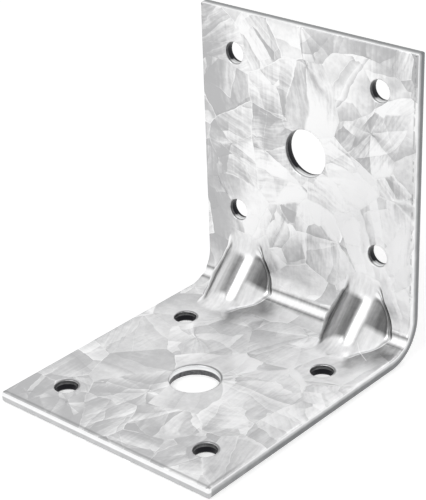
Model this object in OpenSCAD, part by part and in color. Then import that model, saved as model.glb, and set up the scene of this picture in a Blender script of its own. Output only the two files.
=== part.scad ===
// Corner brace bracket: one strip of galvanised sheet bent to a right angle.
// Two hollow-backed gussets are pressed across the inside of the bend, and each
// leg has a large bolt hole in the middle of a square of four screw holes.
// Millimetres. The base leg lies on z = 0, the upright leg stands at the back.
// The origin is the middle of the footprint, on the underside of the base leg.

/* [Sheet] */
// Width of the bracket, measured along the bend
width = 58; // [50:0.5:120]
// Length of the base leg, from the back of the upright to the free end
base_leg = 70; // [60:0.5:150]
// Length of the upright leg, from the underside of the base to the free end
upright_leg = 70; // [60:0.5:150]
// Thickness of the sheet
sheet_t = 2.5; // [1.5:0.1:3.5]
// Inside radius of the bend
bend_r = 6.8; // [5:0.1:10]

/* [Edges] */
// Radius of the sheared edges, as a share of the thickness
edge_share = 0.25; // [0.1:0.01:0.4]
// Radius of the four free corners, seen square on to a leg
corner_r = 1.4; // [1.4:0.1:8]

/* [Bolt holes] */
// Diameter of the bolt hole in each leg
bolt_d = 11; // [6:0.1:14]
// Distance from the free end of the base leg to its bolt hole
base_bolt_end = 29; // [24:0.5:60]
// Distance from the free end of the upright leg to its bolt hole
upright_bolt_end = 29; // [24:0.5:60]

/* [Screw holes] */
// Diameter of the screw holes
screw_d = 5; // [3:0.1:6.5]
// Spacing of the screw holes across the width
screw_pitch_x = 39; // [30:0.5:50]
// Spacing of the screw holes along a leg
screw_pitch_leg = 38; // [28:0.5:44]
// Distance from the free end of a leg to its first row of screw holes
screw_end = 10; // [6:0.5:16]
// Chamfer left by the zinc at the mouth of every hole
mouth = 0.2; // [0.1:0.05:0.5]

/* [Gussets] */
// Distance between the crests of the two gussets
gusset_pitch = 33.5; // [24:0.5:38]
// Distance from the inside corner to the foot of the crest, on either leg
gusset_reach = 11; // [9:0.1:16]
// Radius over the crest, on the inside of the bend
crest_r = 6.8; // [4:0.1:8]
// Angle between one flank and the middle plane of its gusset
flank_angle = 28; // [25:1:50]
// Radius where the crest runs out into a leg
run_out_r = 3; // [1:0.1:8]

/* [Bend groove] */
// Radius of the groove that the tool leaves along the inside of the bend
groove_r = 2.6; // [2:0.1:5]
// Depth of that groove
groove_depth = 0.35; // [0.1:0.05:0.6]

/* [Hidden] */
$fn = 96;
edge_r = edge_share * sheet_t;
outer_r = bend_r + sheet_t;
back_y = base_leg / 2;
face_y = back_y - sheet_t;
bend_y = back_y - outer_r;
front_y = -base_leg / 2;
sink = 0.04 * sheet_t;
run_y = face_y + sink;
run_z = sheet_t - sink;
crest_side = gusset_reach + 2 * sink;
crest_drop = run_out_r * tan(22.5);
crest_len = crest_side * sqrt(2) - 2 * crest_drop;
hollow_r = crest_r - sheet_t;
rib_depth = gusset_reach + outer_r;
far = base_leg + upright_leg;

// Flat bar seen end on, lying on y = 0, with all four edges rounded.
module bar_section(w) {
    translate([-w / 2, edge_r]) square([w, sheet_t - 2 * edge_r]);
    translate([-w / 2 + edge_r, 0]) square([w - 2 * edge_r, sheet_t]);
    for (x = [-1, 1], y = [edge_r, sheet_t - edge_r])
        translate([x * (w / 2 - edge_r), y]) circle(r = edge_r);
}

// Half of such a bar: flush at x = 0, with rounded edges at x = w.
module rim_section(w) {
    translate([0, edge_r]) square([w, sheet_t - 2 * edge_r]);
    square([w - edge_r, sheet_t]);
    for (y = [edge_r, sheet_t - edge_r])
        translate([w - edge_r, y]) circle(r = edge_r);
}

// One flat leg, lying on z = 0 and running from y = 0 to y = -len.
module leg(len) {
    run = len - corner_r;
    inset = width / 2 - corner_r;
    rotate([90, 0, 0]) linear_extrude(run) bar_section(width);
    translate([-inset, -run, 0]) rotate([90, 0, 90])
        linear_extrude(2 * inset) mirror([1, 0]) rim_section(corner_r);
    translate([inset, -run, 0]) rotate([0, 0, -90])
        rotate_extrude(angle = 90) rim_section(corner_r);
    translate([-inset, -run, 0]) rotate([0, 0, 180])
        rotate_extrude(angle = 90) rim_section(corner_r);
}

// The sheet as folded, before the gussets are pressed and the holes punched.
module folded_sheet() {
    translate([0, bend_y, 0]) leg(base_leg - outer_r);
    translate([0, back_y, outer_r]) rotate([-90, 0, 180]) leg(upright_leg - outer_r);
    translate([0, bend_y, outer_r]) rotate([0, 90, 0])
        rotate_extrude(angle = 90)
            translate([outer_r, 0]) rotate(90) bar_section(width);
}

// The shallow groove that the nose of the folding tool leaves in the bend.
module bend_groove() {
    shift = (bend_r + groove_depth - groove_r) * sqrt(0.5);
    translate([-width, bend_y + shift, outer_r - shift]) rotate([0, 90, 0])
        cylinder(r = groove_r, h = 2 * width);
}

// Everything on the inner side of the middle of the sheet.
module inner_side() {
    mid_r = bend_r + sheet_t / 2;
    translate([-width / 2, bend_y, outer_r]) rotate([90, 0, 90]) linear_extrude(width) {
        translate([-far, -mid_r]) square([far, far]);
        translate([-far, 0]) square([far + mid_r, far]);
        circle(r = mid_r);
    }
}

// Section across a gusset: a round crest of radius r and two straight flanks.
// The crest on the inside of the bend touches y = 0.
module gusset_section(r) {
    rise = r * sin(flank_angle);
    half = r * cos(flank_angle);
    drop = rib_depth - crest_r + rise;
    foot = half + drop * tan(flank_angle);
    translate([0, -crest_r]) circle(r = r);
    polygon([[-half, rise - crest_r], [-foot, -rib_depth],
             [foot, -rib_depth], [half, rise - crest_r]]);
}

// That section drawn along the crest: down the slope and round both run-outs.
// The run-outs end just under the faces of the legs.
module gusset_sweep(r) {
    translate([0, run_y, run_z + crest_side]) rotate([135, 0, 0])
        translate([0, 0, crest_drop]) {
            linear_extrude(crest_len) gusset_section(r);
            translate([0, run_out_r, 0]) rotate([-90, 0, -90]) run_out(r);
            translate([0, run_out_r, crest_len]) rotate([90, 0, -90]) run_out(r);
        }
}

// One run-out: the section turned through half a right angle.
module run_out(r) {
    rotate_extrude(angle = 45)
        translate([run_out_r, 0]) rotate(90) gusset_section(r);
}

// A punched hole through a sheet lying on z = 0, with its two mouths eased.
module hole(d) {
    translate([0, 0, -sheet_t]) cylinder(d = d, h = 3 * sheet_t);
    translate([0, 0, -mouth]) cylinder(r1 = d / 2 + 2 * mouth, r2 = d / 2, h = 2 * mouth);
    translate([0, 0, sheet_t - mouth])
        cylinder(r1 = d / 2, r2 = d / 2 + 2 * mouth, h = 2 * mouth);
}

// The five holes of one leg, measured from its free end at y = 0.
module leg_holes(bolt_end) {
    translate([0, bolt_end, 0]) hole(bolt_d);
    for (x = [-1, 1], y = [0, 1])
        translate([x * screw_pitch_x / 2, screw_end + y * screw_pitch_leg, 0])
            hole(screw_d);
}

// The finished bracket.
module bracket() {
    color([0.78, 0.79, 0.80]) difference() {
        union() {
            difference() {
                folded_sheet();
                bend_groove();
            }
            intersection() {
                for (x = [-1, 1]) translate([x * gusset_pitch / 2, 0, 0])
                    gusset_sweep(crest_r);
                inner_side();
            }
        }
        for (x = [-1, 1]) translate([x * gusset_pitch / 2, 0, 0])
            gusset_sweep(hollow_r);
        translate([0, front_y, 0]) leg_holes(base_bolt_end);
        translate([0, back_y, upright_leg]) rotate([-90, 0, 180])
            leg_holes(upright_bolt_end);
    }
}

bracket();
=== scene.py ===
"""Corner brace bracket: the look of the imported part, in metres and in the part's own frame."""

from math import cos, pi, radians, sin, sqrt

import bmesh
import bpy
import numpy as np
from mathutils import Matrix, Vector


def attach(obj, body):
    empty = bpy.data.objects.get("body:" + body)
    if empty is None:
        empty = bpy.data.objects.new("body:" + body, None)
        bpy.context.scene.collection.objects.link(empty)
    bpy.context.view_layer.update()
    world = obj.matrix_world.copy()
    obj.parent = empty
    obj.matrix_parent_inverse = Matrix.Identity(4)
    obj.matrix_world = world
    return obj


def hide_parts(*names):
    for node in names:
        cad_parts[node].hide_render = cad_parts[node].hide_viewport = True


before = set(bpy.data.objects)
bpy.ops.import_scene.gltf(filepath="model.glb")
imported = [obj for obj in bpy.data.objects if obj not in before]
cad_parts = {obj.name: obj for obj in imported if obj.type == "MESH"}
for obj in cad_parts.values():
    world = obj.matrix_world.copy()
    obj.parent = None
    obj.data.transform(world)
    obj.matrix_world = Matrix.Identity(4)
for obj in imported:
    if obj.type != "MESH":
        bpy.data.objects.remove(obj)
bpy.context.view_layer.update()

# ---------------------------------------------------------------- camera
# A long lens, as for a catalogue picture: it stands to the right of the
# bracket and above it, and is turned a little about its own line of sight.
turn, tilt, roll = radians(41.644), radians(26.749), radians(-2.045)
look_at, distance = Vector((0.00825, -0.00795, 0.036396)), 0.32965
back = Vector((sin(turn) * cos(tilt), -cos(turn) * cos(tilt), sin(tilt)))
right = Vector((cos(turn), sin(turn), 0))
up = back.cross(right)
right, up = right * cos(roll) + up * sin(roll), up * cos(roll) - right * sin(roll)
camera = bpy.data.objects.new("camera", bpy.data.cameras.new("camera"))
bpy.context.scene.collection.objects.link(camera)
facing = Matrix((right, up, back)).transposed().to_4x4()
camera.matrix_world = Matrix.Translation(look_at + back * distance) @ facing
camera.data.sensor_fit = "HORIZONTAL"
camera.data.sensor_width = 36
camera.data.lens = 139.69
camera.data.clip_start = 0.01
camera.data.clip_end = 20
bpy.context.scene.camera = camera

# ---------------------------------------------------------------- the sheet
# One strip of 2.5 mm steel. Its inner skin is drawn out row by row from the
# free end of the base leg, turned up round the bend and drawn on up the
# upright leg. Columns and rows lie closer where the gussets will be pressed.
MM = 0.001
thickness, width, leg, bend_r = 2.5, 58.0, 70.0, 6.8
gussets = (-17.6, 16.05)                    # middle of each gusset, along the bend
face_y, front_y = leg / 2 - thickness, -leg / 2     # the upright's inner face, the base's free end
bend_y, bend_z = face_y - bend_r, thickness + bend_r
bend_steps = 40
rim_cell = 0.9                              # the row beside every free edge
fine_column, coarse_column, column_reach = 0.26, 0.8, 10.6
fine_row, coarse_row, row_reach = 0.3, 1.3, 12.5
nearly = 0.01                               # how far off a point still counts as on a line


def rule(start, stop, fine, coarse, spots, reach):
    """Marks from start to stop, fine steps apart near the spots and coarse steps elsewhere."""
    marks = [start]
    while marks[-1] < stop:
        near = min(abs(marks[-1] - spot) for spot in spots) < reach
        marks.append(marks[-1] + (fine if near else coarse))
    share = (stop - start) / (marks[-1] - start)
    return [start + (mark - start) * share for mark in marks]


def select(mesh, kind, test):
    """Selects, in edit mode, the vertices, edges or faces whose middle passes the test, in mm."""
    bpy.ops.mesh.select_all(action="DESELECT")
    bm = bmesh.from_edit_mesh(mesh)
    for item in getattr(bm, kind):
        corners = [item.co] if kind == "verts" else [v.co for v in item.verts]
        if test(sum(corners, Vector()) / len(corners) / MM):
            item.select_set(True)
    bm.select_flush_mode()
    bmesh.update_edit_mesh(mesh)


def draw_out(marks, axis):
    """Draws the selected row out along an axis, from mark to mark."""
    for here, there in zip(marks, marks[1:]):
        step = Vector((0, 0, 0))
        step[axis] = (there - here) * MM
        bpy.ops.mesh.extrude_edges_move(TRANSFORM_OT_translate={"value": step})


inset = width / 2 - rim_cell
columns = rule(-inset, inset, fine_column, coarse_column, gussets, column_reach)
columns = [-width / 2] + columns + [width / 2]
bpy.ops.object.select_all(action="DESELECT")
bpy.ops.mesh.primitive_grid_add(x_subdivisions=len(columns) - 1, y_subdivisions=1, size=1)
bracket = bpy.context.object
bracket.name = bracket.data.name = "bracket_sheet"
sheet = bracket.data
first_row = front_y + rim_cell
for v in sheet.vertices:
    place = round((v.co.x + 0.5) * (len(columns) - 1))
    v.co = Vector((columns[place], first_row if v.co.y > 0 else front_y, thickness)) * MM
bpy.ops.object.mode_set(mode="EDIT")
bpy.ops.mesh.select_mode(type="EDGE")
select(sheet, "edges", lambda p: p.y > first_row - nearly)
draw_out(rule(first_row, bend_y, fine_row, coarse_row, (bend_y,), row_reach), 1)
bpy.ops.mesh.spin(steps=bend_steps, angle=-pi / 2, axis=(1, 0, 0),
                  center=(0, bend_y * MM, bend_z * MM))
draw_out(rule(bend_z, leg - rim_cell, fine_row, coarse_row, (bend_z,), row_reach) + [leg], 2)
bpy.ops.mesh.select_all(action="SELECT")
bpy.ops.mesh.remove_doubles(threshold=1e-6)
bpy.ops.mesh.normals_make_consistent(inside=False)
bm = bmesh.from_edit_mesh(sheet)
if min(bm.faces, key=lambda f: f.calc_center_median().y).normal.z < 0:
    bpy.ops.mesh.flip_normals()

# ---------------------------------------------------------------- holes and corners
# Each leg is punched with an 11 mm bolt hole in the middle of four 5 mm screw
# holes. A patch of the skin comes out and its edge is drawn in to a true circle.
# The four free corners of the strip are only just broken.
bolt_r, screw_r, screw_x = 5.5, 2.5, 19.5
patch_rim, mouth_cell, corner_cut = 1.9, 0.6, 0.4
# the middle of each hole, the axis that runs along its leg (Y or Z), and its radius
holes = [(Vector((0, -6, thickness)), 1, bolt_r), (Vector((0, face_y, 41)), 2, bolt_r)]
holes += [(Vector((x, y, thickness)), 1, screw_r) for x in (-screw_x, screw_x) for y in (-25, 13)]
holes += [(Vector((x, face_y, z)), 2, screw_r) for x in (-screw_x, screw_x) for z in (22, 60)]

for middle, axis, radius in holes:
    through = 3 - axis

    def in_patch(p, more=0.0):
        half_patch = radius + patch_rim + more
        return (abs(p[through] - middle[through]) < nearly
                and abs(p.x - middle.x) < half_patch and abs(p[axis] - middle[axis]) < half_patch)

    bpy.ops.mesh.select_mode(type="FACE")
    select(sheet, "faces", in_patch)
    bpy.ops.mesh.delete(type="FACE")
    bpy.ops.mesh.select_mode(type="EDGE")
    bpy.ops.mesh.select_all(action="DESELECT")
    bm = bmesh.from_edit_mesh(sheet)
    for e in bm.edges:
        if e.is_boundary and in_patch((e.verts[0].co + e.verts[1].co) / 2 / MM, more=2):
            e.select_set(True)
    for ring in (radius + mouth_cell, radius):
        bpy.ops.mesh.extrude_edges_move(TRANSFORM_OT_translate={"value": (0, 0, 0)})
        bm = bmesh.from_edit_mesh(sheet)
        for v in bm.verts:
            if v.select:
                away = v.co - middle * MM
                v.co = middle * MM + away * (ring * MM / away.length)
        bmesh.update_edit_mesh(sheet)

bpy.ops.mesh.select_mode(type="VERT")
select(sheet, "verts", lambda p: abs(abs(p.x) - width / 2) < nearly
       and (abs(p.y - front_y) < nearly or abs(p.z - leg) < nearly))
bpy.ops.mesh.bevel(affect="VERTICES", offset=corner_cut * MM, segments=4, profile=0.5)
bpy.ops.object.mode_set(mode="OBJECT")

# ---------------------------------------------------------------- thickness and edges
# The skin is given the sheet's thickness. Shearing and the zinc leave the
# outer edges and the mouths of the holes rounded.
edge_round, mouth_round = 0.55, 0.28
for name in ("zinc spangle", "cut edge", "hole wall"):
    sheet.materials.append(bpy.data.materials.new(name))
skin_slot, edge_slot, wall_slot = range(3)
thicken = bracket.modifiers.new("thickness", "SOLIDIFY")
thicken.thickness = thickness * MM
thicken.offset = -1
thicken.material_offset_rim = edge_slot
bpy.ops.object.modifier_apply(modifier=thicken.name)
bpy.ops.object.mode_set(mode="EDIT")
bm = bmesh.from_edit_mesh(sheet)
for f in bm.faces:
    if f.material_index == edge_slot:
        centre = f.calc_center_median() / MM
        for middle, axis, radius in holes:
            through = 3 - axis
            off_x, off_leg = centre.x - middle.x, centre[axis] - middle[axis]
            if abs(centre[through] - middle[through]) < thickness + 0.1 \
                    and off_x ** 2 + off_leg ** 2 < (radius + 0.1) ** 2:
                f.material_index = wall_slot
for slot, offset, segments in ((edge_slot, edge_round, 4), (wall_slot, mouth_round, 3)):
    bpy.ops.mesh.select_mode(type="EDGE")
    bpy.ops.mesh.select_all(action="DESELECT")
    bm = bmesh.from_edit_mesh(sheet)
    for e in bm.edges:
        if sorted(f.material_index for f in e.link_faces) == [skin_slot, slot]:
            e.select_set(True)
    bpy.ops.mesh.bevel(offset=offset * MM, segments=segments, profile=0.5, clamp_overlap=False)
bpy.ops.object.mode_set(mode="OBJECT")

# ---------------------------------------------------------------- gussets
# Two round-crested gussets are pressed across the bend from behind, at 45
# degrees, so each is hollow at the back. The tool leaves a groove along the
# bend and a narrow channel round the foot of each gusset.
crest_r, crest_out = 6.8, 7.78              # the crest's radius, and its distance from the corner
flank = radians(34)                         # between a flank and the gusset's middle plane
foot_dip = 0.12                             # depth of the channel round the foot of a gusset
groove_r, groove_depth, groove_turn = 2.6, 0.25, radians(42.5)
mouth_r = 1.6                               # rounding at the mouth of each hollow


def over_skin(p):
    """Height of points over the plain inner skin, and the way up from it, in mm."""
    y, z = p[:, 1] - bend_y, p[:, 2] - bend_z
    reach = np.maximum(np.hypot(y, z), 1e-6)
    turned = (y > 0) & (z < 0)
    flat = ~turned & (z < 0)
    height = np.where(turned, bend_r - reach,
                      np.where(flat, p[:, 2] - thickness, face_y - p[:, 1]))
    way = np.stack([np.zeros(len(p)), np.where(turned, -y / reach, np.where(flat, 0, -1)),
                    np.where(turned, -z / reach, np.where(flat, 1, 0))], 1)
    return height, way


def from_crest(p):
    """How far points lie out of the corner past the crest's axis, and how far along it, in mm."""
    out, rise = face_y - p[:, 1], p[:, 2] - thickness
    return (out + rise) * sqrt(0.5) - (crest_out - crest_r), (rise - out) * sqrt(0.5)


def off_gusset(p, x, radius):
    """Distance of points from a ridge with a round crest of that radius and flat flanks, in mm."""
    low = from_crest(p)[0]
    beside = np.abs(p[:, 0] - x)
    on_flank = beside * sin(flank) > low * cos(flank)
    to_axis = np.where(on_flank, beside * cos(flank) + low * sin(flank), np.hypot(beside, low))
    return to_axis - radius


def round_gusset(p, x):
    """Lean of points from a gusset's middle plane in degrees, and how far along its crest."""
    low, along = from_crest(p)
    return np.degrees(np.arctan2(p[:, 0] - x, np.maximum(low, 0.01))), along


def foot_radius(lean, along):
    """Radius at the foot, and its channel's depth: a wide foot where the crest runs out,
    a narrow one with the channel beside the flanks."""
    beside = np.clip((np.abs(lean) - 22) / 26, 0, 1)
    beside = beside * beside * (3 - 2 * beside)
    narrow = np.interp(np.abs(along), (0, 1.6, 4), (1.0, 0.8, 0.55))
    return 2.1 * (1 - beside) + narrow * beside, foot_dip * beside


def inner_air(p):
    """How far points are above the pressed inner skin; below zero is steel."""
    y, z = p[:, 1] - bend_y, p[:, 2] - bend_z
    shift = bend_r + groove_depth - groove_r
    to_groove = np.hypot(y - shift * sin(groove_turn), z + shift * cos(groove_turn))
    above = np.maximum(over_skin(p)[0], groove_r - to_groove)
    gap = above
    for x in gussets:
        off = off_gusset(p, x, crest_r)
        foot_r, dip = foot_radius(*round_gusset(p, x))
        channel = foot_r - np.hypot(foot_r - dip - above, foot_r - off)
        inside = np.where(above < foot_r - dip, channel, np.minimum(above, off))
        gap = np.minimum(gap, np.where(off < foot_r, inside, np.maximum(above, channel)))
    return gap


def outer_air(p):
    """The same for the outer skin, with its two hollows."""
    below = -thickness - over_skin(p)[0]
    gap = below
    for x in gussets:
        hollow = -off_gusset(p, x, crest_r - thickness)
        rounded = np.hypot(below + mouth_r, hollow + mouth_r) - mouth_r
        at_mouth = (below > -mouth_r) & (hollow > -mouth_r)
        gap = np.maximum(gap, np.where(at_mouth, rounded, np.maximum(below, hollow)))
    return gap


def pressed(skin, way, air, marks):
    """How far up each point of a skin is pressed: the first mark in steel, then halved."""
    rise = np.full(len(skin), marks[-1])
    found = np.zeros(len(skin), bool)
    for mark in marks:
        steel = ~found & (air(skin + way * mark) < 0)
        rise[steel] = mark
        found |= steel
    inside, outside = rise, rise - (marks[1] - marks[0])
    for _ in range(12):
        half = (inside + outside) / 2
        steel = air(skin + way * half[:, None]) < 0
        inside, outside = np.where(steel, half, inside), np.where(steel, outside, half)
    return inside


points = np.empty(len(sheet.vertices) * 3)
sheet.vertices.foreach_get("co", points)
points = points.reshape(-1, 3) / MM
height, way = over_skin(points)
skin = points - way * height[:, None]
depth = np.clip(-height / thickness, 0, 1)
search = 0.1                                # mm between the marks at which steel is looked for
rise_in = pressed(skin, way, inner_air, np.arange(6.5, -0.6, -search))
rise_out = pressed(skin, way, outer_air, np.arange(-2.6, 5.0, search)) + thickness
points += way * (rise_in * (1 - depth) + rise_out * depth)[:, None]
sheet.vertices.foreach_set("co", (points * MM).ravel())
sheet.update()
bpy.ops.object.shade_smooth()

# Where light and shade are painted into the zinc is kept on the sheet as values for its colour.
# "depth" runs from 0 on the inner skin to 1 on the outer one; "strip_on" and "strip" are
# where light and shade are painted along the groove (and later beside the gussets), and how bright.
y, z = points[:, 1] - bend_y, points[:, 2] - bend_z
turn_at = np.arctan2(np.maximum(y, 0), np.maximum(-z, 1e-6))
arc = np.where((y > 0) & (z < 0), (turn_at - pi / 4) * bend_r,
               np.where(z < 0, y - bend_r * pi / 4, z + bend_r * pi / 4))
strip = np.interp(arc, (-2.6, -2.0, -1.6, -1.2, -0.8, 0.2, 0.6, 1.0, 1.35, 1.9),
                  (0.75, 0.55, 0.30, 0.62, 0.97, 0.97, 0.72, 0.24, 0.60, 0.75))
strip_on = np.interp(arc, (-2.6, -2.0, 1.4, 1.9), (0, 1, 1, 0))

# "crest" is the painted light and shade on a gusset, "reach" is the distance from its
# foot (1 at the channel's outer lip), "side" says which flank a point is on
# and "high" is 1 on the half of the gusset that faces the upright.
nearest = np.where(points[:, 0] < 0, *gussets)
lean, along = round_gusset(points, nearest)
off = off_gusset(points, nearest, crest_r)
foot_r, dip = foot_radius(lean, along)
foot = foot_r + np.sqrt(np.maximum(2 * foot_r * dip - dip ** 2, 0))
side = np.clip((np.abs(lean) - 26) / 8, 0, 1) * np.sign(lean)
high = np.clip(0.5 + along / 1.3, 0, 1)
# painted shade on the left flank, and a painted highlight along the crest
left = np.interp(lean, (-75, -50, -38, -26, -14, -6, 1, 6, 9, 12, 15, 17.5, 24, 27.5, 31),
                 (0.22, 0.26, 0.34, 0.40, 0.32, 0.22, 0.14, 0.12, 0.17, 0.34, 0.78, 1.0, 1.0,
                  0.82, 0.48))
left = np.where((lean < 8) & (nearest < 0), left * 1.8, left)
# the right flank: painted shade on its upper half and painted light on its lower one
upper = np.interp(lean, (31, 35, 45, 52, 70, 85), (0.48, 0.34, 0.30, 0.18, 0.17, 0.28))
lower = np.interp(lean, (31, 35, 45, 85), (0.50, 0.72, 0.86, 0.88))
crest = np.where(lean < 31, left, upper * high + lower * (1 - high))
# at both ends the painted light and shade run out bright into the legs
end = np.where(
    along < 0,
    np.interp(lean, (-60, -37, -10, 6, 12, 31, 60), (7.4, 6.2, 4.6, 4.4, 5.7, 5.4, 7.0)),
    np.interp(lean, (-60, -40, -18, 12, 24, 34, 60), (6.8, 6.0, 5.6, 5.2, 5.6, 6.4, 7.6)))
out = np.clip((np.abs(along) - end) / 1.1 + 0.5, 0, 1)
crest = crest * (1 - out) + np.interp(lean, (-60, 0, 60), (0.66, 0.82, 0.74)) * out
# the legs beside the right flank: painted shade on the base and a painted highlight
# on the upright, kept with the groove's painted values
past = off - foot
painted_beside_flank = np.where(
    along < 0,
    np.interp(past, (-0.5, 3.0, 6.5), (0.95, 0.85, 0)) * np.clip(-along - 0.8, 0, 1),
    np.interp(past, (-0.5, 2.0, 3.6), (0.9, 0.8, 0)) * np.clip(along - 1.2, 0, 1))
painted_beside_flank = painted_beside_flank * np.clip((lean - 26) / 8, 0, 1) * (np.abs(along) < 16)
strip = np.where(painted_beside_flank > strip_on, np.where(along < 0, 0.30 + 0.04 * past, 0.80), strip)
strip_on = np.maximum(strip_on, painted_beside_flank)

# "glint" is how far down a point lies on the wall of a hole in the upright, where a highlight
# is painted, and "lip" is a thin ring of painted shade at the far lip of each hole in the base.
glint, lip = np.zeros(len(points)), np.zeros(len(points))
for middle, axis, radius in holes:
    away = points - np.array(middle)
    beyond = np.hypot(away[:, 0], away[:, axis]) - radius
    if axis == 2:
        glint = np.where(beyond < 0.5, -away[:, 2] / radius, glint)
    else:
        at_lip = (np.abs(beyond - 0.2) < 0.15) & (depth < 0.2)
        lip = np.where(at_lip, np.clip(away[:, 1] / radius + 0.35, 0, 1), lip)
kept_values = {"depth": depth, "strip_on": strip_on, "strip": strip, "crest": crest,
               "reach": np.clip(off / foot, -3, 3), "side": side, "high": high,
               "glint": glint, "lip": lip}
for name, numbers in kept_values.items():
    sheet.attributes.new(name, "FLOAT", "POINT").data.foreach_set("value", numbers)


# ---------------------------------------------------------------- zinc spangle
# The strip was hot-dip galvanised before it was pressed. The zinc froze in
# large flat crystals, each split into shards that catch the light their own way.
class Wire:
    """One output in a material. Arithmetic on it adds Math nodes."""

    def __init__(self, socket):
        self.socket, self.tree = socket, socket.id_data

    def node(self, kind, settings, inputs, output=0):
        """Adds a node: its settings first, then the values or links of its sockets."""
        new = self.tree.nodes.new("ShaderNode" + kind)
        for name, value in settings.items():
            setattr(new, name, value)
        for name, value in inputs.items():
            if isinstance(value, Wire):
                self.tree.links.new(value.socket, new.inputs[name])
            else:
                new.inputs[name].default_value = value
        return Wire(new.outputs[output])

    def other(self, output):
        """Another output of the same node."""
        return Wire(self.socket.node.outputs[output])

    def maths(self, operation, first, second=0.0):
        return self.node("Math", {"operation": operation}, {0: first, 1: second})

    def vectors(self, operation, other, output=0):
        return self.node("VectorMath", {"operation": operation}, {0: self, 1: other}, output)

    def __add__(self, other): return self.maths("ADD", self, other)
    def __sub__(self, other): return self.maths("SUBTRACT", self, other)
    def __rsub__(self, other): return self.maths("SUBTRACT", other, self)
    def __mul__(self, other): return self.maths("MULTIPLY", self, other)
    __radd__, __rmul__ = __add__, __mul__

    def larger(self, other):
        return self.maths("MAXIMUM", self, other)

    def ease(self, start, stop, low=0.0, high=1.0):
        """Eases from low to high while the value goes from start to stop."""
        return self.node("MapRange", {"interpolation_type": "SMOOTHSTEP"},
                         {0: self, 1: start, 2: stop, 3: low, 4: high})

    def line(self, middle, reach):
        """1 on a line where this value is middle, fading out over the reach to both sides."""
        return self.ease(middle - reach, middle) * self.ease(middle + reach, middle)

    def split(self, kind="Color"):
        """The three numbers of a colour, or of a vector with kind="XYZ"."""
        first = self.node("Separate" + kind, {}, {0: self})
        return first, first.other(1), first.other(2)

    def scaled(self, size):
        return self.node("VectorMath", {"operation": "SCALE"}, {0: self, "Scale": size})

    def noise(self, scale, detail=2.0, rough=0.5):
        return self.node("TexNoise", {}, {"Vector": self, "Scale": scale, "Detail": detail,
                                          "Roughness": rough})

    def wander(self, scale, size):
        """A vector that drifts about zero from place to place."""
        drift = self.noise(scale, 1.0).other("Color")
        return drift.vectors("SUBTRACT", half).scaled(size)

    def cells(self, feature, output=0):
        return self.node("TexVoronoi", {"feature": feature},
                         {"Vector": self, "Scale": 1.0, "Randomness": 1.0}, output)

    def drawn_lot(self, other):
        """A random number for each pair of values."""
        pair = self.node("CombineXYZ", {}, {0: self, 1: other})
        return self.node("TexWhiteNoise", {"noise_dimensions": "2D"}, {"Vector": pair})

    def value(self, name):
        """A value that is kept on the mesh."""
        return self.node("Attribute", {"attribute_name": name}, {}, "Fac")

    def mixed(self, low, high):
        """Mixes two colours by this value."""
        return self.node("Mix", {"data_type": "RGBA"}, {0: self, 6: low, 7: high}, 2)


def zinc(material):
    """Makes a material zinc, and gives its shader and the place on it in mm."""
    material.use_nodes = True
    nodes = material.node_tree.nodes
    shader = nodes["Principled BSDF"]
    shader.inputs["Metallic"].default_value = 0.9
    place = Wire(nodes.new("ShaderNodeTexCoord").outputs["Object"])
    return shader, place.scaled(1 / MM)


def plug(shader, name, wire):
    wire.tree.links.new(wire.socket, shader.inputs[name])


half = (0.5, 0.5, 0.5)
grain_size, arms = 14, 7                    # mm across a crystal, wedges in its fan
dull_zinc, bright_zinc = (0.49, 0.49, 0.496, 1), (0.95, 0.95, 0.952, 1)
spangle, edge, wall = sheet.materials
shader, place = zinc(spangle)
spot_x, spot_y, spot_z = place.split("XYZ")
clouds = place.noise(0.13, 3.0) - 0.5
smoke = place.noise(0.42, 4.0, 0.6) - 0.5
grime = place.noise(1.1, 3.0) - 0.5

# the inner skin, and on it where light and shade are painted and where the zinc is left plain
inner = place.value("depth").ease(0.7, 0.3)
upright = spot_z.ease(3, 14)
strip_on = place.value("strip_on") * inner
reach, side, high = place.value("reach"), place.value("side"), place.value("high")
both_flanks = side.maths("ABSOLUTE", side)
right_flank = side.larger(0.0)
near = reach.ease(1.3, 0.5)
gusset_on = (near + (reach.ease(1.16, 1.02) - near) * both_flanks) * inner
plain = (1 - strip_on) * (1 - gusset_on)

# the crystals, with the place in each turned its own way
bent = place.vectors("ADD", place.wander(0.06, 5))
grain_at = bent.vectors("ADD", place.wander(0.4, 0.7)).scaled(1 / grain_size)
grain = grain_at.cells("F1", "Color")
grain_edge = grain_at.cells("DISTANCE_TO_EDGE")
away = grain_at.vectors("SUBTRACT", grain_at.cells("F1", "Position"))
turned = away.node("VectorRotate", {"rotation_type": "EULER_XYZ"},
                   {"Vector": away, "Rotation": grain.scaled(6.28)})
pick, second, third = grain.split()

# the arms of each crystal: wedges that fan out from one point
turned_x, turned_y, _ = turned.split("XYZ")
fan = turned_y.maths("ARCTAN2", turned_y + (third - 0.5) * 0.5, turned_x + (second - 0.5) * 0.5)
fan = fan * (arms / (2 * pi)) + 10
arm = fan.maths("FLOOR", fan)
across = fan - arm
arm_pick, arm_second = arm.drawn_lot(pick * 50), arm.drawn_lot(second * 70)

# and small shards in some of them
shard_at = turned.vectors("MULTIPLY", (3.6, 1.5, 2.4)).vectors("ADD", grain.scaled(7))
shard = shard_at.cells("F1", "Color")
shard_edge = shard_at.cells("DISTANCE_TO_EDGE")
shard_away = shard_at.vectors("SUBTRACT", shard_at.cells("F1", "Position"))
shard_pick, shard_second, _ = shard.split()
shattered = (second + clouds).ease(0.36, 0.52)

# fine lines along the crystals, and longer ones that the rollers ruled across them
slope = turned.vectors("DOT_PRODUCT", (0.7, 0.4, -0.5), "Value")
shard_slope = shard_away.vectors("DOT_PRODUCT", (0.6, -0.5, 0.4), "Value")
lines = turned.vectors("MULTIPLY", (26, 1.6, 1.6)).noise(1.0) - 0.5
lines = lines * (third + clouds).ease(0.35, 0.6)
ruled = place.vectors("MULTIPLY", (1.7, 0.10, 0.10)).noise(1.0, 3.0) - 0.5
ruled = ruled * (second + clouds * 2).ease(0.3, 0.8, 0.15, 1.0)
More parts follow.
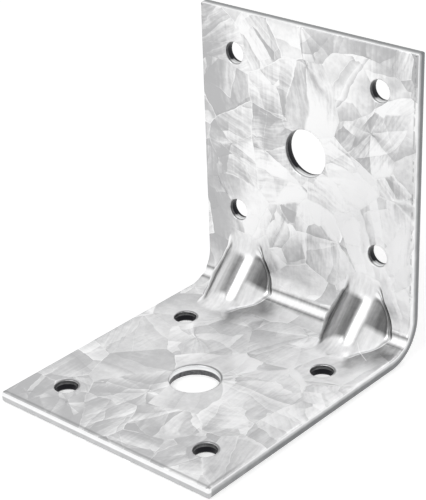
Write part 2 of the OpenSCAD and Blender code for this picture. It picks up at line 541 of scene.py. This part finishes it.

# each crystal's tone, over broad painted light and shade on the two legs: darker at the
# base's front and left edge and just before the bend, lighter low on the upright's right and
# darker along its sides, and lighter towards the right, the back and lower down
in_arms = (arm_pick - 0.5) * 0.30 + (across - 0.5) * (arm_second - 0.5) * 1.3
in_shards = ((shard_pick - 0.5) * 0.34 + shard_slope * 0.55) * shattered
contrast = (pick - 0.5) * 0.20 + in_arms + slope * 0.5 + in_shards \
    + clouds * 0.5 + smoke * 0.5 + grime * 0.3 + lines * 0.75 + ruled * 0.6
base_shade = spot_y.ease(-24, -6, -0.14, 0.06) - spot_y.ease(10, 22) * 0.12 \
    - spot_x.ease(-width / 2 + 2.6, -width / 2 + 0.4) * 0.14
upright_shade = spot_x.ease(4, 18) * spot_z.ease(44, 26) * 0.34 \
    - spot_x.ease(5, 25) * 0.17 - spot_x.ease(-14, -26) * 0.24
tone = 0.59 + contrast * upright.ease(0, 1, 0.66, 1.0) \
    + spot_x * 0.005 + spot_y * 0.0035 - spot_z * 0.0013 \
    + base_shade + (upright_shade - base_shade) * upright
rims = grain_edge.ease(0.0, 0.022, 1.0, 0.0) * pick.ease(0.35, 0.6) * 0.35 \
    + shard_edge.ease(0.0, 0.035, 1.0, 0.0) * shard_second.ease(0.6, 0.8) * shattered * 0.25 \
    + across.ease(0.0, 0.035, 1.0, 0.0) * arm_second.ease(0.6, 0.7) * 0.3
bright = (tone + rims * (0.55 + upright * 0.45)).ease(0.0, 1.0)
crystal = bright.mixed(dull_zinc, bright_zinc)

# the painted light and shade of the groove and the gussets, with the zinc drawn out in streaks
# along the crests, and painted lines round each foot: two dark ones above, a painted shade below
down_crest = place.node("VectorRotate", {"rotation_type": "X_AXIS"},
                        {"Vector": place, "Angle": -pi / 4})
pulled = down_crest.vectors("MULTIPLY", (1.3, 0.16, 0.8)).noise(1.0, 3.0) - 0.5
above = 1 - reach.line(0.15, 0.15) * 0.4 + reach.line(0.36, 0.16) * 0.9 \
    - reach.line(0.55, 0.12) * 0.3 + reach.line(0.68, 0.12) * 0.5 - reach.line(0.94, 0.22) * 0.85
below = 1 - reach.ease(0.1, 0.8) * 0.3 + reach.line(0.95, 0.18) * 0.35
on_left = 1 - reach.line(0.35, 0.28) * 0.65 + reach.ease(0.6, 1.1) * 1.3
painted_foot_lines = on_left * (both_flanks - right_flank) \
    + (below + (above - below) * high) * right_flank + (1 - both_flanks)
painted_light = place.value("strip") * (1 - gusset_on) + place.value("crest") * painted_foot_lines * gusset_on
streaks = painted_light * (1.25 - painted_light) * (pulled + grime * 0.4)
drawn_zinc_and_painted_light = (painted_light + streaks).mixed((0.0, 0.0, 0.0, 1), (0.98, 0.98, 0.985, 1))

# painted shade: dark lines just inside the plate's edges, and at the far lips of the base's holes
front_line = spot_y.line(front_y + 0.75, 0.55)
right_line = spot_x.line(width / 2 - 0.75, 0.55) * spot_y.ease(-18, -33)
broken_line = spot_x.line(width / 2 - 0.7, 0.35) * upright * smoke.ease(-0.06, 0.04)
shade = (front_line.larger(right_line) + broken_line) * inner * 0.55
shaded = shade.larger(place.value("lip")).mixed(crystal, (0.22, 0.222, 0.226, 1))

# one fine scratch over the foot of the right gusset, on the base
scratch_way = spot_x * 0.843 - spot_y * 0.538
scratch = (spot_x * 0.538 + spot_y * 0.843).line(31.8, 0.17) * scratch_way.ease(1.4, 2.2) \
    * scratch_way.ease(9.2, 8.2) * spot_z.ease(4.6, 3.6) * inner * 0.75
plug(shader, "Base Color", scratch.mixed(plain.mixed(drawn_zinc_and_painted_light, shaded), (0.95, 0.95, 0.955, 1)))
plug(shader, "Roughness", 0.32 + (shard_second * 0.14 + clouds * 0.2) * plain)

# every crystal and shard lies at a slightly different angle
grain_tilt = away.vectors("DOT_PRODUCT", grain.vectors("SUBTRACT", half), "Value")
shard_tilt = shard_away.vectors("DOT_PRODUCT", shard.vectors("SUBTRACT", half), "Value")
arm_ridge = across.maths("PINGPONG", across, 0.5) * arm_second
relief = grain_tilt * 1.6 + shard_tilt * 0.3 * shattered + arm_ridge * 0.25 \
    + lines * 0.02 - grain_edge.ease(0.0, 0.03, 1.0, 0.0) * 0.02
relief = relief * plain + grime * 0.04
bump = relief.node("Bump", {}, {"Height": relief, "Distance": MM, "Strength": 1.0})
plug(shader, "Normal", bump)

# ---------------------------------------------------------------- cut edge and hole walls
# The blanking tool left the strip's edges smooth; a painted highlight runs along the front
# one's upper half and the tops of the sides, with painted shade below. The punch left each
# hole wall with a grey burnished band at the inner mouth and a black torn band behind it,
# the black painted as shade in the hole.
shader, place = zinc(edge)
streak = place.noise(0.4) - 0.5
deep = place.value("depth")
_, spot_y, _ = place.split("XYZ")
front = spot_y.ease(front_y + 1.0, front_y + 0.6)
near_front = spot_y.ease(-6, -30)
# painted highlights along the top of the sides and, near the front, their bottom, with painted
# shade between; on the front a painted highlight with painted shade above and below
side_tone = 0.42 + streak * 0.25 - deep.ease(0.25, 0.55) * (0.38 - near_front * 0.20) \
    + deep.ease(0.05, 0.24, 0.45, 0.0) + deep.ease(0.82, 1.0, 0.0, 0.45) * near_front
front_tone = 0.46 + streak * 0.15 + deep.ease(0.34, 0.48, 0.40, 0.0) \
    - deep.ease(0.0, 0.05, 0.4, 0.0) - deep.ease(0.85, 1.0, 0.0, 0.2)
edge_tone = (side_tone + (front_tone - side_tone) * front).ease(0, 1)
plug(shader, "Base Color", edge_tone.mixed((0.20, 0.205, 0.21, 1), (0.97, 0.97, 0.975, 1)))
plug(shader, "Roughness", 0.34 + streak * 0.1)

shader, place = zinc(wall)
streak = place.noise(1.4, 3.0) - 0.5
deep = place.value("depth")
spot_x, _, spot_z = place.split("XYZ")
base_bolt = spot_z.ease(3.4, 2.8) * spot_x.maths("ABSOLUTE", spot_x).ease(12, 10)
upright = spot_z.ease(4, 12)
# the torn band painted near black as shade deep in the holes, darker in the upright's holes and at
# the mouths of the base's small ones, lighter towards the back mouth
torn_band_and_shade = deep.ease(0.02, 0.14, 0.9, 0.34) + streak * 0.3 \
    - deep.ease(0.34, 0.46) * 0.34 + deep.ease(0.82, 0.94, 0.0, 0.5) \
    - deep.ease(0.06, 0.16, 0.0, 0.22) * upright - deep.ease(0.02, 0.14, 0.65, 0.12) * (1 - upright)
# in the base's bolt hole, a painted highlight on the wall near the inner mouth and painted shade
# deeper in
clean_band_and_highlight = deep.ease(0.0, 0.08, 0.5, 1.35) - deep.ease(0.40, 0.48) * 1.2 + streak * 0.35
# a painted highlight low on the walls of the upright's holes
lit = deep.ease(0.05, 0.25) * deep.ease(0.75, 0.6) * place.value("glint").ease(0.72, 0.95)
wall_tone = ((torn_band_and_shade + (clean_band_and_highlight - torn_band_and_shade) * base_bolt + lit * 0.95) * 0.84).larger(0.0)
plug(shader, "Base Color", wall_tone.mixed((0.015, 0.015, 0.018, 1), (0.95, 0.955, 0.96, 1)))
plug(shader, "Roughness", 0.34 + streak * 0.3)

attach(bracket, "root")
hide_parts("bracket")

# ---------------------------------------------------------------- studio
# A pale floor and a white room, with one softbox high in front and a much
# weaker one high behind, to the left.
floor_size, softbox_size = 6, 0.5
room_light = 0.55                           # a strength of 1 would be white
no_glow, floor_glow = (0, 0, 0, 1), (0.45, 0.45, 0.45, 1)
bpy.ops.object.select_all(action="DESELECT")
bpy.ops.mesh.primitive_plane_add(size=floor_size, location=(0, 0, 0))
floor = bpy.context.object
floor.name = "floor"


def seen_rays(nodes):
    """1 where a surface is seen, also in a reflection or through glass, and 0 where it lights."""
    path = Wire(nodes.new("ShaderNodeLightPath").outputs["Is Camera Ray"])
    return path.larger(path.other("Is Glossy Ray")).larger(path.other("Is Transmission Ray"))


paper = bpy.data.materials.new("floor paper")
floor.data.materials.append(paper)
paper.use_nodes = True
nodes = paper.node_tree.nodes
matt = nodes["Principled BSDF"]
matt.inputs["Base Color"].default_value = (0.9, 0.9, 0.9, 1)
matt.inputs["Roughness"].default_value = 0.9
matt.inputs["Specular IOR Level"].default_value = 0.0
matt.inputs["Emission Strength"].default_value = 1.0
plug(matt, "Emission Color", seen_rays(nodes).mixed(no_glow, floor_glow))


def softbox(name, place, power):
    """A square area lamp that faces the bracket."""
    lamp = bpy.data.lights.new(name, "AREA")
    lamp.shape = "SQUARE"
    lamp.size, lamp.energy = softbox_size, power
    stand = bpy.data.objects.new(name, lamp)
    bpy.context.scene.collection.objects.link(stand)
    place = Vector(place)
    aim = (place - Vector((0, 0, 0.03))).to_track_quat("Z", "Y").to_matrix().to_4x4()
    stand.matrix_world = Matrix.Translation(place) @ aim


softbox("key_softbox", (-0.05, -0.59, 0.81), 2.1)
softbox("fill_softbox", (-0.6, 0.5, 0.9), 0.12)

world = bpy.data.worlds.new("studio")
bpy.context.scene.world = world
world.use_nodes = True
nodes = world.node_tree.nodes
walls, backdrop = nodes["Background"], nodes.new("ShaderNodeBackground")
for background, strength in ((walls, room_light), (backdrop, 1.0)):
    background.inputs["Color"].default_value = (1, 1, 1, 1)
    background.inputs["Strength"].default_value = strength
seen = seen_rays(nodes)
sky = seen.node("MixShader", {}, {0: seen, 1: Wire(walls.outputs[0]), 2: Wire(backdrop.outputs[0])})
world.node_tree.links.new(sky.socket, nodes["World Output"].inputs["Surface"])
bpy.context.scene.view_settings.view_transform = "Standard"
